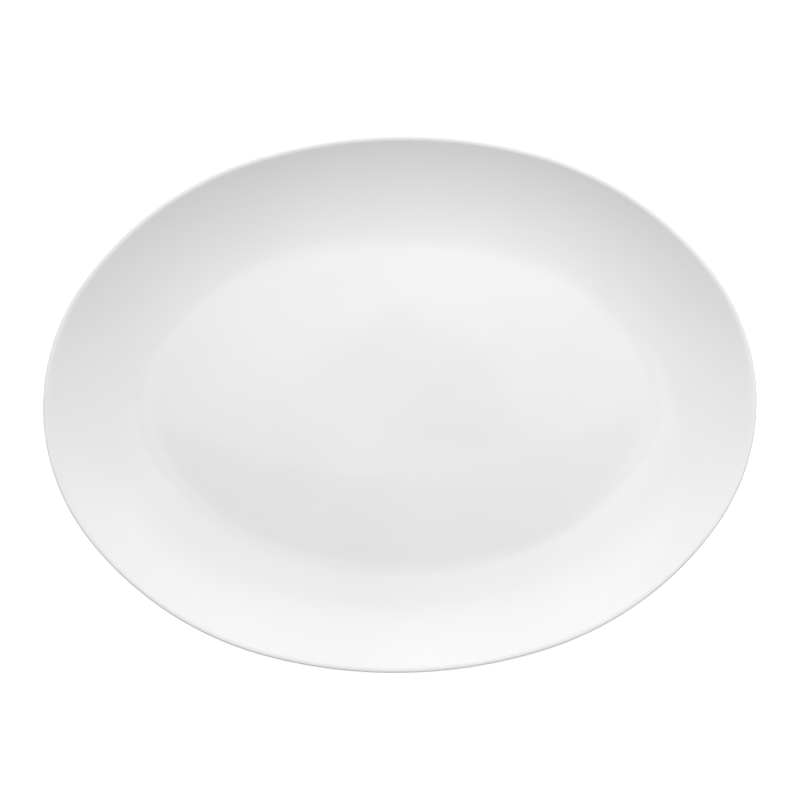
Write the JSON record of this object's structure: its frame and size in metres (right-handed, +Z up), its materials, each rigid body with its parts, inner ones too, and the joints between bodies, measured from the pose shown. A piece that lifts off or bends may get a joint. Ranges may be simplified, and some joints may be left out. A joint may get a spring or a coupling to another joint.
{
  "type": "oval serving platter",
  "caption": "Low oval coupe platter in white glazed porcelain: smooth concave rim, thin rounded lip, flat oval well, and a bare ground foot ring to stand on.",
  "frame": {"origin": "on the table, under the middle of the well", "axes": "+X along the platter's length, +Y across its width, +Z up out of the well; the foot ring's bearing face is the plane z = 0"},
  "size_m": [0.34, 0.256, 0.025],
  "materials": {
    "fired_porcelain": "dense white porcelain, fired and unglazed, hidden under the glaze",
    "ground_foot": "bare porcelain, ground flat and polished matt, faintly warm in tone",
    "clear_glaze": "smooth glossy feldspar glaze over white porcelain",
    "recess_glaze": "the same glossy glaze, slightly wavier where it was poured"
  },
  "bodies": {
    "root": {"porcelain_body": "fired_porcelain", "foot_ring": "ground_foot", "glaze_coat": "clear_glaze", "recess_glaze": "recess_glaze"}
  },
  "joints": []
}
